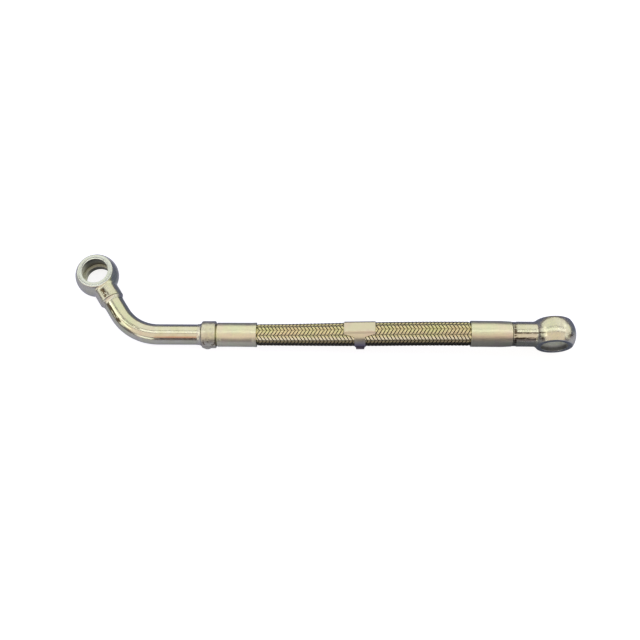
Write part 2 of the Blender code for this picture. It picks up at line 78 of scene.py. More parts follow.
def runPoint(station):
    left = line["corner"] + runDirection * line["leftMouth"]
    climb = line["eyeRadius"] - left.z
    right = left + Vector((sqrt(exposed ** 2 - climb ** 2), 0, climb))
    if station <= line["leftMouth"]:
        return line["corner"] + runDirection * station
    if station >= line["rightMouth"]:
        return right + Vector((station - line["rightMouth"], 0, 0))
    t = (station - line["leftMouth"]) / exposed
    return (left * (2 * t ** 3 - 3 * t ** 2 + 1) + runDirection * exposed * (t ** 3 - 2 * t ** 2 + t)
            + right * (3 * t ** 2 - 2 * t ** 3) + Vector((exposed, 0, 0)) * (t ** 3 - t ** 2))


def runFrame(station):
    direction = (runPoint(station + 0.1) - runPoint(station - 0.1)).normalized()
    return runPoint(station), direction, front.cross(direction).normalized()


def axisPlace(origin, direction, up=Vector((0, 0, 1))):
    # A matrix whose local X runs along direction and whose local Z is the upper side
    side = up.cross(direction).normalized()
    above = direction.cross(side).normalized()
    return Matrix.Translation(origin) @ Matrix((direction, side, above)).transposed().to_4x4()


leftRun = axisPlace(line["corner"], runDirection)
neckRun = axisPlace(leftEyeCentre, neckDirection)
rightRun = axisPlace(runPoint(line["rightEye"]), Vector((-1, 0, 0)))


def addPiece(name, points, faces, place, material, nodes, slot, sharpAngle=32):
    mesh = bpy.data.meshes.new(name)
    mesh.from_pydata([(place @ Vector(p)) * mm for p in points], [], faces)
    return finishPiece(name, mesh, material, nodes, sharpAngle)


def finishPiece(name, mesh, material, nodes, sharpAngle=32):
    bm = bmesh.new()
    bm.from_mesh(mesh)
    bmesh.ops.remove_doubles(bm, verts=bm.verts, dist=0.000002)
    bmesh.ops.recalc_face_normals(bm, faces=bm.faces)
    bm.to_mesh(mesh)
    bm.free()
    mesh.shade_smooth()
    mesh.set_sharp_from_angle(angle=radians(sharpAngle))
    mesh.materials.clear()
    mesh.materials.append(material)
    piece = bpy.data.objects.new(name, mesh)
    scene.collection.objects.link(piece)
    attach(piece, "root")
    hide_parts(*nodes)
    return piece


def latheData(outline, segments, closed):
    # Spins (along, radius) points round the local X axis
    points, faces, rows = [], [], []
    for along, radius in outline:
        if radius < 1e-6:
            rows.append([len(points)] * segments)
            points.append((along, 0, 0))
            continue
        rows.append(list(range(len(points), len(points) + segments)))
        points += [(along, radius * sin(2 * pi * i / segments), radius * cos(2 * pi * i / segments))
                   for i in range(segments)]
    pairs = list(zip(rows, rows[1:])) + ([(rows[-1], rows[0])] if closed else [])
    for row, following in pairs:
        for i in range(segments):
            j = (i + 1) % segments
            face = []
            for vertex in (row[i], row[j], following[j], following[i]):
                if vertex not in face:
                    face.append(vertex)
            if len(face) > 2:
                faces.append(face)
    return points, faces


def rounded(corners, arcPoints=6):
    # Corners are (along, radius, round); each round becomes an arc tangent to both its sides
    outline = []
    for index, (along, radius, roundRadius) in enumerate(corners):
        here = Vector((along, radius))
        if roundRadius == 0:
            outline.append(here)
            continue
        before = Vector(corners[index - 1][:2]) - here
        after = Vector(corners[(index + 1) % len(corners)][:2]) - here
        half = before.angle(after) / 2
        length = min(roundRadius / tan(half), before.length * 0.45, after.length * 0.45)
        trueRound = length * tan(half)
        centre = here + (before.normalized() + after.normalized()).normalized() * (trueRound / sin(half))
        first = here + before.normalized() * length - centre
        last = here + after.normalized() * length - centre
        turn = first.angle_signed(last)
        for step in range(arcPoints + 1):
            arm = first.copy()
            arm.rotate(Matrix.Rotation(-turn * step / arcPoints, 2))
            outline.append(centre + arm)
    return outline


def arc(centre, radius, start, end, steps):
    return [Vector((centre[0] + radius * cos(start + (end - start) * i / steps),
                    centre[1] + radius * sin(start + (end - start) * i / steps)))
            for i in range(steps + 1)]


def densified(outline, spacing):
    # Extra points along the straight stretches, so that a mesh has something to bend and wear
    dense = [outline[0]]
    for before, after in zip(outline, outline[1:]):
        count = max(1, ceil((Vector(after) - Vector(before)).length / spacing))
        dense += [Vector(before).lerp(Vector(after), i / count) for i in range(1, count + 1)]
    return dense


def ringTube(rings, closed):
    points = [p for ring in rings for p in ring]
    count = len(rings[0])
    faces = []
    spans = list(range(len(rings) - 1)) + ([len(rings) - 1] if closed else [])
    for r in spans:
        here, there = r * count, (r + 1) % len(rings) * count
        for i in range(count):
            j = (i + 1) % count
            faces.append((here + i, here + j, there + j, there + i))
    return points, faces


def wobble(point, scale, seed):
    return noise.noise(Vector(point) * scale + Vector((seed, seed * 0.7, seed * 1.3)))


def markAlong(piece, attribute, axis, marks, fade=1.5):
    # Writes where a streak lies on a piece: (from, to, angle, width, strength), the stations in mm along
    # the axis, the angle in degrees from the top towards the right-hand side of someone going along it
    lengths = [0.0]
    for before, after in zip(axis, axis[1:]):
        lengths.append(lengths[-1] + (after - before).length)
    values = []
    for vertex in piece.data.vertices:
        point = vertex.co / mm
        nearest = min(range(len(axis) - 1),
                      key=lambda k: (point - (axis[k] + axis[k + 1]) / 2).length_squared)
        span = axis[nearest + 1] - axis[nearest]
        along = (point - axis[nearest]).dot(span.normalized())
        off = point - axis[nearest] - span.normalized() * along
        side = Vector((span.y, -span.x, 0)).normalized()
        angle = degrees(atan2(off.dot(side), off.z))
        station = lengths[nearest] + along
        value = 0.0
        for first, last, middle, width, strength in marks:
            inside = window(station, first, last, fade, fade)
            value = max(value, strength * inside * max(0.0, 1 - abs(angle - middle) / width))
        values.append(value)
    piece.data.attributes.new(attribute, "FLOAT", "POINT").data.foreach_set("value", values)


def newMaterial(name):
    material = bpy.data.materials.new(name)
    material.use_nodes = True
    nodes, links = material.node_tree.nodes, material.node_tree.links
    shader = nodes["Principled BSDF"]
    place = nodes.new("ShaderNodeTexCoord").outputs["Object"]
    return material, nodes, links, shader, place


def noiseNode(nodes, links, place, scale, detail=4, rough=0.55, stretch=None, turn=(0, 0, 0)):
    texture = nodes.new("ShaderNodeTexNoise")
    texture.inputs["Scale"].default_value = scale
    texture.inputs["Detail"].default_value = detail
    texture.inputs["Roughness"].default_value = rough
    if stretch:
        mapping = nodes.new("ShaderNodeMapping")
        mapping.vector_type = "TEXTURE"  # turned first, so that the stretch follows the turned axes
        mapping.inputs["Rotation"].default_value = turn
        mapping.inputs["Scale"].default_value = [1 / share for share in stretch]
        links.new(place, mapping.inputs["Vector"])
        place = mapping.outputs["Vector"]
    links.new(place, texture.inputs["Vector"])
    return texture.outputs["Fac"]


def ramp(nodes, links, value, stops):
    node = nodes.new("ShaderNodeValToRGB")
    links.new(value, node.inputs["Fac"])
    elements = node.color_ramp.elements
    while len(elements) < len(stops):
        elements.new(0.5)
    for element, (position, colour) in zip(elements, stops):
        element.position = position
        element.color = (*colour, 1) if len(colour) == 3 else colour
    return node.outputs["Color"]


def mixed(nodes, links, share, first, second, blend="MIX"):
    node = nodes.new("ShaderNodeMix")
    node.data_type = "RGBA"
    node.blend_type = blend
    for socket, value in ((node.inputs["Factor"], share), (node.inputs[6], first), (node.inputs[7], second)):
        if hasattr(value, "links"):
            links.new(value, socket)
        else:
            socket.default_value = value if isinstance(value, float) else (*value, 1)
    return node.outputs[2]


def ranged(nodes, links, value, low, high, fromLow=0.3, fromHigh=0.7):
    node = nodes.new("ShaderNodeMapRange")
    links.new(value, node.inputs["Value"])
    for name, number in (("From Min", fromLow), ("From Max", fromHigh), ("To Min", low), ("To Max", high)):
        node.inputs[name].default_value = number
    return node.outputs["Result"]


def bumped(nodes, links, shader, heights):
    # Each height is (value, strength, distance in mm), laid over the one before
    normal = None
    for value, strength, distance in heights:
        node = nodes.new("ShaderNodeBump")
        node.inputs["Strength"].default_value = strength
        node.inputs["Distance"].default_value = distance * mm
        links.new(value, node.inputs["Height"])
        if normal:
            links.new(normal, node.inputs["Normal"])
        normal = node.outputs["Normal"]
    links.new(normal, shader.inputs["Normal"])


def written(nodes, attribute, output="Fac"):
    # Reads what a piece's own points say
    node = nodes.new("ShaderNodeAttribute")
    node.attribute_name = attribute
    return node.outputs[output]


def streak(scale, low, high, colour, stretch=(1.0, 1.0, 1.0), turn=0.0):
    # Spots of this noise, clear below low and full above high; turn is in degrees round Z
    return {"scale": scale, "from": low, "to": high, "colour": colour, "stretch": stretch,
            "turn": (0, 0, radians(turn))}


wornMetal = {"rough": (0.62, 0.62, 0.62), "metallic": 0.35}


def platedSteel(name, look):
    # Yellow-passivated zinc: straw with faint green and pink clouds, dulled and specked here and there
    material, nodes, links, shader, place = newMaterial(name)
    cloud = noiseNode(nodes, links, place, look["cloudScale"], detail=3, rough=0.5)
    colour = ramp(nodes, links, cloud, look["clouds"])
    mottle = noiseNode(nodes, links, place, look["mottleScale"], detail=6, rough=0.65)
    mottle = ranged(nodes, links, mottle, 0.0, look["mottle"])
    colour = mixed(nodes, links, mottle, colour, look["mottleColour"])
    # each streak mixes its colour in where a piece's attribute says: real marks and spots, and also painted
    # shade, painted pale light and painted reflection bands
    for attribute, spot in look.get("streaks", {}).items():
        dots = noiseNode(nodes, links, place, spot["scale"], rough=0.7, stretch=spot["stretch"],
                         turn=spot["turn"])
        dots = ranged(nodes, links, dots, 0.0, 1.0, spot["from"], spot["to"])
        share = nodes.new("ShaderNodeMath")
        share.operation = "MULTIPLY"
        share.use_clamp = True
        links.new(dots, share.inputs[0])
        links.new(written(nodes, attribute), share.inputs[1])
        colour = mixed(nodes, links, share.outputs["Value"], colour, spot["colour"])
    links.new(colour, shader.inputs["Base Color"])
    shader.inputs["Metallic"].default_value = 1.0
    dull = noiseNode(nodes, links, place, look["dullScale"], detail=5, rough=0.6)
    rough = ranged(nodes, links, dull, look["smoothest"], look["dullest"])
    # rougher and less metallic where this attribute says; in the eyes' bores the same attribute also paints a
    # pale light
    if "roughAndPaintedLight" in look:
        roughAndPaintedLight = written(nodes, look["roughAndPaintedLight"])
        rough = mixed(nodes, links, roughAndPaintedLight, rough, wornMetal["rough"])
        links.new(ranged(nodes, links, roughAndPaintedLight, 1.0, wornMetal["metallic"], 0.0, 1.0), shader.inputs["Metallic"])
    links.new(rough, shader.inputs["Roughness"])
    skin = noiseNode(nodes, links, place, look["skinScale"], rough=0.6)
    grain = noiseNode(nodes, links, place, look["grainScale"], detail=2, stretch=look["grainStretch"])
    bumped(nodes, links, shader, [(skin, look["skin"], 0.05), (grain, look["grain"], 0.01)])
    return material


straw, green, pink = (0.83, 0.80, 0.46), (0.77, 0.81, 0.44), (0.83, 0.72, 0.47)
plating = {
    "cloudScale": 120.0, "clouds": [(0.32, green), (0.47, straw), (0.58, (0.86, 0.84, 0.53)), (0.72, pink)],
    "mottleScale": 900.0, "mottle": 0.35, "mottleColour": (0.62, 0.59, 0.45),
    "dullScale": 400.0, "smoothest": 0.20, "dullest": 0.34,
    "skinScale": 700.0, "skin": 0.12,
    "grainScale": 60.0, "grainStretch": (60.0, 4.0, 4.0), "grain": 0.10,
}
# brown streaks; along the tube's straight run the same streak paints a dark reflection line
brownMarks = streak(420.0, 0.40, 0.50, (0.11, 0.08, 0.04), stretch=(0.5, 1.8, 1.8), turn=-57)
levelMarks = streak(500.0, 0.40, 0.50, (0.11, 0.08, 0.04), stretch=(0.5, 2.5, 2.5))
brownSpots = streak(620.0, 0.50, 0.60, (0.20, 0.13, 0.07))
# painted reflection: a pink-tan band along the front of the tube and of the right ferrule
tanReflectionPaint = streak(300.0, 0.34, 0.60, (0.70, 0.40, 0.22), stretch=(0.15, 3.0, 3.0))
faintTanReflection = streak(220.0, 0.34, 0.60, (0.56, 0.44, 0.30), stretch=(0.15, 3.0, 3.0))
violetShade = streak(200.0, -0.2, 0.5, (0.38, 0.34, 0.34))
groundFlat = streak(1500.0, 0.20, 0.55, (0.80, 0.84, 0.66))
# a painted pale light on the bore's wall
boreLitPaint = streak(700.0, 0.10, 0.55, (0.84, 0.87, 0.76))
# painted shade inside the eyes' bores
boreShadePaint = streak(160.0, -0.10, 0.36, (0.015, 0.017, 0.015))

eyeZinc = platedSteel("zinc_forged_eye", dict(
    plating, skin=0.24, smoothest=0.16, dullest=0.30, mottle=0.6, roughAndPaintedLight="inside", streaks={
        "ground": groundFlat, "inside": boreLitPaint, "marks": brownMarks, "lines": levelMarks, "bore": boreShadePaint}))
tubeZinc = platedSteel("zinc_tube", dict(
    plating, smoothest=0.13, dullest=0.22, streaks={"marks": brownMarks, "tan": tanReflectionPaint}))
ferruleZinc = platedSteel("zinc_ferrule", dict(
    plating, clouds=[(0.30, (0.86, 0.89, 0.50)), (0.50, (0.91, 0.88, 0.50)), (0.70, (0.93, 0.82, 0.52))],
    smoothest=0.28, dullest=0.40, streaks={"tan": faintTanReflection}))
collarZinc = platedSteel("zinc_rough_collar", dict(
    plating, smoothest=0.24, dullest=0.42, skinScale=900.0, skin=0.6, mottle=0.6, mottleScale=700.0,
    mottleColour=(0.62, 0.57, 0.42), streaks={"brown": brownSpots}))
brazeMetal = platedSteel("plated_braze", dict(
    plating, clouds=[(0.35, (0.76, 0.73, 0.47)), (0.65, (0.86, 0.82, 0.56))],
    smoothest=0.22, dullest=0.36, skin=0.3))
bandZinc = platedSteel("plated_band_sheet", dict(
    plating, clouds=[(0.30, (0.80, 0.76, 0.44)), (0.50, (0.82, 0.76, 0.46)), (0.70, (0.82, 0.70, 0.46))],
    mottle=0.18, smoothest=0.30, dullest=0.42, grainStretch=(4.0, 60.0, 60.0), streaks={"under": violetShade}))
print("plated materials made")


wireLook = {
    "clouds": [(0.3, (0.85, 0.84, 0.34)), (0.5, (0.95, 0.85, 0.40)), (0.7, (0.97, 0.79, 0.40))],
    "cloudScale": 90.0, "fleckScale": 2600.0, "fleckMost": 0.4,
    "fleck": (0.58, 0.50, 0.24), "glint": (1.0, 0.97, 0.64), "braidShade": (0.05, 0.04, 0.022),
    "smoothest": 0.11, "dullest": 0.24, "ribbonShare": 0.60, "dentScale": 3000.0, "dent": 0.15,
}


def wireMaterial(name, look):
    # Fine plated wire, brassier than the fittings, with painted shade where it dives under the other strands
    # and on the hose's lower front and underside, and a painted highlight on the front rows
    material, nodes, links, shader, place = newMaterial(name)
    cloud = noiseNode(nodes, links, place, look["cloudScale"], detail=3)
    colour = ramp(nodes, links, cloud, look["clouds"])
    fleck = noiseNode(nodes, links, place, look["fleckScale"], detail=3)
    colour = mixed(nodes, links, ranged(nodes, links, fleck, 0.0, look["fleckMost"]), colour, look["fleck"])
    # a painted highlight (glint) where the wires' points say
    colour = mixed(nodes, links, written(nodes, "glint"), colour, look["glint"])
    # painted shade where the wires dive under and on the hose's underside
    colour = mixed(nodes, links, written(nodes, "braidShade"), colour, look["braidShade"])
    links.new(colour, shader.inputs["Base Color"])
    shader.inputs["Metallic"].default_value = 1.0
    links.new(ranged(nodes, links, fleck, look["smoothest"], look["dullest"]), shader.inputs["Roughness"])
    # a strand of wires laid side by side shines much as one flat ribbon
    geometry = nodes.new("ShaderNodeNewGeometry")
    lean = nodes.new("ShaderNodeMix")
    lean.data_type = "VECTOR"
    lean.inputs["Factor"].default_value = look["ribbonShare"]
    links.new(geometry.outputs["Normal"], lean.inputs[4])
    links.new(written(nodes, "facing", "Vector"), lean.inputs[5])
    straight = nodes.new("ShaderNodeVectorMath")
    straight.operation = "NORMALIZE"
    links.new(lean.outputs[1], straight.inputs[0])
    dents = nodes.new("ShaderNodeBump")
    dents.inputs["Strength"].default_value = look["dent"]
    dents.inputs["Distance"].default_value = 0.02 * mm
    links.new(noiseNode(nodes, links, place, look["dentScale"], detail=2), dents.inputs["Height"])
    links.new(straight.outputs["Vector"], dents.inputs["Normal"])
    links.new(dents.outputs["Normal"], shader.inputs["Normal"])
    return material


def rubberMaterial(name):
    material, nodes, links, shader, place = newMaterial(name)
    cloud = noiseNode(nodes, links, place, 300.0, detail=4)
    links.new(ramp(nodes, links, cloud, [(0.3, (0.012, 0.012, 0.012)), (0.7, (0.032, 0.030, 0.028))]),
              shader.inputs["Base Color"])
    links.new(ranged(nodes, links, cloud, 0.6, 0.8), shader.inputs["Roughness"])
    bumped(nodes, links, shader, [(noiseNode(nodes, links, place, 2500.0, detail=3), 0.3, 0.03)])
    return material


braidWire = wireMaterial("braid_wire_zinc", wireLook)
linerRubber = rubberMaterial("liner_rubber")

eye = {
    "radius": 11.8, "half": 6.9, "bore": 7.1,
    "neckRadius": 6.67, "fillet": 2.3, "segments": 128, "ballSteps": 48, "drillStart": 4.3,
    # the cutter's outline: off the flat and its radius, off the flat and past the bore, then off the middle
    # and past the bore
    "flatEdge": [(0.0, 9.75), (0.16, 9.70), (0.10, 9.58), (0.03, 9.48), (0.0, 9.38)],
    "mouthEdge": [(0.0, 0.25), (0.04, 0.13), (0.12, 0.04), (0.25, 0.0)],
    "groove": [(5.0, 0.0), (3.35, 0.0), (3.24, 0.06), (3.2, 0.20), (3.0, 1.3), (2.6, 1.3)],
    "groundRadius": 9.6, "ledge": (2.9, 3.3), "ledgeShade": 0.05, "grooveShade": 0.15, "landFade": 2.0,
    "rimStart": 6.2, "rimFade": 0.4, "rimShade": 0.75, "skin": 0.2, "boreReach": 1.5, "shadeTurn": 0.55,
}


def ballAndNeck(neckPoints):
    filletX = sqrt((eye["radius"] + eye["fillet"]) ** 2 - (eye["neckRadius"] + eye["fillet"]) ** 2)
    angle = atan2(eye["neckRadius"] + eye["fillet"], filletX)
    ball = arc((0, 0), eye["radius"], pi, angle, eye["ballSteps"])
    ball[0] = Vector((-eye["radius"], 0))
    fillet = arc((filletX, eye["neckRadius"] + eye["fillet"]), eye["fillet"], angle + pi, 1.5 * pi, 8)[1:]
    return ball + fillet + densified([fillet[-1], Vector(neckPoints[0])], 1.0)[1:] + neckPoints[1:]


def eyeCutter():
    # A spool that grinds the two flats with softened rims, and bores the bolt's way and the groove
    half, bore, out = eye["half"], eye["bore"], eye["radius"] * 1.5
    side = [(out, 0), (out, out), (half, out)]
    side += [(half - below, radius) for below, radius in eye["flatEdge"]]
    side += [(half - below, bore + wider) for below, wider in eye["mouthEdge"]]
    side += [(eye["rimStart"], bore)]
    side += [(along, bore + wider) for along, wider in eye["groove"]]
    return side + [(-along, radius) for along, radius in reversed(side)]


def boreShadeAmount(along, groove):
    # Painted shade in the bore: darkest at the mouths' edges and on the lands beside the groove, while the
    # groove's ledges stay pale
    if eye["ledge"][0] < along < eye["ledge"][1]:
        return eye["ledgeShade"]
    land = smooth((along - eye["ledge"][1]) / eye["landFade"])
    return max(eye["grooveShade"] + (1 - eye["grooveShade"]) * land, groove)


def buildEye(name, neckPoints, place, boreTurn, node, shade):
    points, faces = latheData(ballAndNeck(neckPoints), eye["segments"], closed=False)
    body = bpy.data.meshes.new(name)
    body.from_pydata([Vector(p) * mm for p in points], [], faces)
    points, faces = latheData(eyeCutter(), eye["segments"], closed=False)
    spool = bpy.data.meshes.new(name + "_spool")
    spool.from_pydata([(boreTurn @ Vector(p)) * mm for p in points], [], faces)
    objects = []
    for mesh in (body, spool):
        bm = bmesh.new()
        bm.from_mesh(mesh)
        bmesh.ops.remove_doubles(bm, verts=bm.verts, dist=0.000001)
        bmesh.ops.recalc_face_normals(bm, faces=bm.faces)
        bm.to_mesh(mesh)
        bm.free()
        work = bpy.data.objects.new(mesh.name, mesh)
        scene.collection.objects.link(work)
        objects.append(work)
    cut = objects[0].modifiers.new("bore", "BOOLEAN")
    cut.operation, cut.solver, cut.object = "DIFFERENCE", "EXACT", objects[1]
    bpy.context.view_layer.update()
    depsgraph = bpy.context.evaluated_depsgraph_get()
    shaped = bpy.data.meshes.new_from_object(objects[0].evaluated_get(depsgraph))
    for work in objects:
        bpy.data.objects.remove(work)
    shaped.transform(Matrix.Translation(place.translation * mm) @ place.to_3x3().to_4x4())
    piece = finishPiece(name, shaped, eyeZinc, [node], 22)
    axis = (place.to_3x3() @ boreTurn) @ Vector((1, 0, 0))
    shaded, inside, flat = [], [], []
    for vertex in piece.data.vertices:
        off = vertex.co / mm - place.translation
        away = off - axis * off.dot(axis)
        along = abs(off.dot(axis))
        within = away.length < eye["bore"] + eye["boreReach"] and along < eye["half"] - eye["skin"]
        # painted shade in the bore, strongest on the side given by towards, and at the mouths' rims
        depth = boreShadeAmount(along, shade["groove"])
        facing = away.normalized().dot(Vector(shade["towards"]))
        depth *= shade["strength"] * smooth(eye["shadeTurn"] + facing)
        rim = eye["rimShade"] * smooth((along - eye["rimStart"]) / eye["rimFade"])
        shaded.append(max(depth, rim) if within else 0.0)
        # inside the bore: rougher, less metallic and painted paler, as if lit
        inside.append(shade["roughAndPaintedLight"] if within else 0.0)
        ground = away.length < eye["groundRadius"] and along > eye["half"] - eye["skin"]
        flat.append(1.0 if ground else 0.0)
    for attribute, values in (("bore", shaded), ("inside", inside), ("ground", flat)):
        piece.data.attributes.new(attribute, "FLOAT", "POINT").data.foreach_set("value", values)
    return piece


boreUpright = Matrix.Rotation(pi / 2, 3, "Y")
boreLevel = Matrix.Rotation(pi / 2, 3, "Z")

leftNeck = {
    "length": 17.6, "socket": 5.8, "seat": 10.6, "tubeBore": 4.0, "endRound": 0.25,
    # the bore's painted shade: its strength, the side it falls on, the painted pale light with roughness
    # inside, and the groove's share
    "shade": {"strength": 1.0, "towards": (0.30, 0.75, 0.0), "roughAndPaintedLight": 0.45, "groove": 0.9},
    "marks": [(10.5, 17.8, 16.0, 13.0, 2.4), (14.0, 17.5, 2.0, 6.0, 1.2)],
}
neckEnd = rounded([
    (0, eye["neckRadius"], 0), (leftNeck["length"], eye["neckRadius"], leftNeck["endRound"]),
    (leftNeck["length"], leftNeck["socket"], 0),
])[1:]
leftEye = buildEye("leftEye", neckEnd + [
    (leftNeck["seat"], leftNeck["socket"]), (leftNeck["seat"], leftNeck["tubeBore"]),
    (eye["drillStart"], leftNeck["tubeBore"]), (eye["drillStart"], 0),
], neckRun, boreUpright, "left_eye", leftNeck["shade"])
neckAxis = [leftEyeCentre + neckDirection * s for s in (0.0, 6.0, 12.0, 18.0)]
markAlong(leftEye, "marks", neckAxis, leftNeck["marks"])

rightNeck = {
    "length": 19.8, "endRound": 0.5, "stepLength": 2.2, "stepDepth": 0.18, "stepShown": 1.9,
    "lock": 4.25, "lockLength": 1.8,
    "tailRadius": 3.35, "tailBore": 2.25, "tailEnd": 41.7,
    # the bore's painted shade and painted pale light, set as for the left eye
    "shade": {"strength": 0.85, "towards": (0.0, 0.0, -1.0), "roughAndPaintedLight": 1.0, "groove": 0.1},
    "lines": [
        (0.0, 16.5, 16.0, 5.0, 1.6), (0.0, 13.5, 41.0, 7.0, 1.8), (12.0, 16.0, 34.0, 14.0, 1.0),
        (26.5, 32.0, 24.0, 12.0, 1.0), (-0.5, 2.3, 5.0, 60.0, 1.6), (-0.5, 2.3, 60.0, 50.0, 1.6)],
}
stepEnd = rightNeck["length"] + rightNeck["stepLength"]
stepRadius = eye["neckRadius"] - rightNeck["stepDepth"]
lockEnd = stepEnd + rightNeck["lockLength"]
neckEnd = rounded([
    (0, eye["neckRadius"], 0), (rightNeck["length"], eye["neckRadius"], rightNeck["endRound"]),
    (rightNeck["length"], stepRadius, 0),
])[1:]
rightEye = buildEye("rightEye", neckEnd + [
    *densified([(stepEnd - rightNeck["stepShown"], stepRadius), (stepEnd, stepRadius)], 0.4),
    (stepEnd, rightNeck["lock"]), (lockEnd, rightNeck["lock"]),
    (lockEnd, rightNeck["tailRadius"]), (rightNeck["tailEnd"], rightNeck["tailRadius"]),
    (rightNeck["tailEnd"], rightNeck["tailBore"]), (eye["drillStart"], rightNeck["tailBore"]),
    (eye["drillStart"], 0),
], rightRun, boreLevel, "right_eye", rightNeck["shade"])
rightAxis = [runPoint(line["rightEye"]) + Vector((x, 0, 0)) for x in (-22.0, 0.0, 12.0)]
markAlong(rightEye, "lines", rightAxis, rightNeck["lines"])
print("banjo eyes made")

tube = {
    "radius": 5.5, "bore": 4.0, "sides": 96, "step": 2.0, "neckSteps": 4, "runSteps": 12,
    "end": 43.7, "start": 10.9,
    # brown streaks near the bend; the last, along the straight run, is a painted dark reflection line
    "marks": [
        (6.5, 15.0, 29.0, 14.0, 2.2), (12.5, 22.5, 33.0, 13.0, 2.2), (20.0, 34.0, 8.0, 4.0, 1.0),
        (42.0, 66.0, 46.0, 4.0, 1.0)],
    # a painted pink-tan reflection band along the straight run
    "tan": [(40.0, 68.0, 37.0, 10.0, 1.0)],
}


def tubeRings():
    plane = neckDirection.cross(runDirection).normalized()
    turn = acos(neckDirection.dot(runDirection))
    bendStart = line["corner"] - neckDirection * line["bendRadius"] * tan(turn / 2)
    centre = bendStart + plane.cross(neckDirection) * line["bendRadius"]
    seat = leftEyeCentre + neckDirection * tube["start"]
    neckSteps, runSteps = tube["neckSteps"], tube["runSteps"]
    stations = [(seat.lerp(bendStart, i / neckSteps), neckDirection) for i in range(neckSteps)]
    steps = ceil(turn / radians(tube["step"]))
    for i in range(steps + 1):
        rotation = Matrix.Rotation(turn * i / steps, 3, plane)
        stations.append((centre + rotation @ (bendStart - centre), rotation @ neckDirection))
    bendEnd = stations[-1][0]
    end = line["corner"] + runDirection * tube["end"]
    stations += [(bendEnd.lerp(end, i / runSteps), runDirection) for i in range(1, runSteps + 1)]
    return [(point, plane, plane.cross(direction)) for point, direction in stations]


def roundRing(station, radius, count):
    point, up, side = station
    turns = [2 * pi * i / count for i in range(count)]
    return [point + (up * cos(turn) + side * sin(turn)) * radius for turn in turns]


stations = tubeRings()
rings = [roundRing(s, tube["radius"], tube["sides"]) for s in stations]
rings += [roundRing(s, tube["bore"], tube["sides"]) for s in reversed(stations)]
inPlace = Matrix.Identity(4)
bentTube = addPiece("bentTube", *ringTube(rings, closed=True), inPlace, tubeZinc, ["bent_tube"], "zinc_steel")
tubeAxis = [station[0] for station in stations]
markAlong(bentTube, "marks", tubeAxis, tube["marks"])
markAlong(bentTube, "tan", tubeAxis, tube["tan"])
print("tube made")

collar = {
    "start": 37.9, "length": 7.6, "radius": 7.3, "bore": 5.8, "round": 0.8, "segments": 160,
    "lumpRadius": 3.4, "lumpRise": 0.65, "lumpStation": 40.8, "lumpAngle": 105.0, "lumpBlend": 0.35,
    "wall": 0.4, "rough": 0.05, "brown": [(-1.0, 9.0, 62.0, 34.0, 1.3)],
}


def collarPoint(point):
    # The lump is a ball that stands out of the forged skin, and the skin is a little uneven
    along, y, z = point
    radius = hypot(y, z)
    if radius < collar["bore"] + collar["wall"]:
        return point
    angle = atan2(-y, z)
    off = hypot(along - collar["lumpStation"], (angle - radians(collar["lumpAngle"])) * collar["radius"])
    centre = collar["radius"] + collar["lumpRise"] - collar["lumpRadius"]
    grown = radius + collar["rough"] * (wobble(point, 0.9, 3.0) + 0.4 * wobble(point, 2.6, 8.0))
    if off < collar["lumpRadius"]:
        lump = centre + sqrt(collar["lumpRadius"] ** 2 - off ** 2)
        share = min(max(0.5 + 0.5 * (lump - grown) / collar["lumpBlend"], 0.0), 1.0)
        grown = grown * (1 - share) + lump * share + collar["lumpBlend"] * share * (1 - share) * 0.5
    return along, y * grown / radius, z * grown / radius


collarEnd = collar["start"] + collar["length"]
collarOutline = rounded([
    (collar["start"], collar["bore"], 0), (collar["start"], collar["radius"], collar["round"]),
    (collarEnd, collar["radius"], collar["round"]), (collarEnd, collar["bore"], 0),
], arcPoints=8)
points, faces = latheData(densified(collarOutline, 0.25), collar["segments"], closed=True)
stopCollar = addPiece("stopCollar", [collarPoint(p) for p in points], faces, leftRun, collarZinc,
                      ["stop_collar"], "collar_zinc", 40)
collarAxis = [runPoint(s) for s in (collar["start"], collar["start"] + 4.0, collarEnd)]
markAlong(stopCollar, "brown", collarAxis, collar["brown"])

braze = {"inner": 5.60, "height": 1.04, "length": 2.3, "sink": 0.2, "steps": 8, "segments": 96, "uneven": 0.16}


def buildBraze(name, place, back, node):
    # A hollow bead whose run-out on the tube wanders a little
    outline = [(0.0, -braze["sink"])]
    for i in range(braze["steps"] + 1):
        angle = pi / 2 * i / braze["steps"]
        outline.append((-braze["length"] * (1 - sin(angle)), braze["height"] * (1 - cos(angle))))
    rings = []
    for i in range(braze["segments"]):
        angle = 2 * pi * i / braze["segments"]
        swell = 1 + braze["uneven"] * wobble((cos(angle) * 2, sin(angle) * 2, back), 1.0, 5.0)
        rings.append([Vector((back + along * swell, (braze["inner"] + height) * sin(angle),
                              (braze["inner"] + height) * cos(angle))) for along, height in outline])
    addPiece(name, *ringTube(rings, closed=True), place, brazeMetal, [node], "braze_metal")


neckMouth = neckRun @ Matrix.Translation((leftNeck["length"], 0, 0)) @ Matrix.Rotation(pi, 4, "Z")
buildBraze("neckBraze", neckMouth, 0.08, "neck_braze")
buildBraze("collarBraze", leftRun, collar["start"] - 0.1, "collar_braze")
print("collar and braze made")

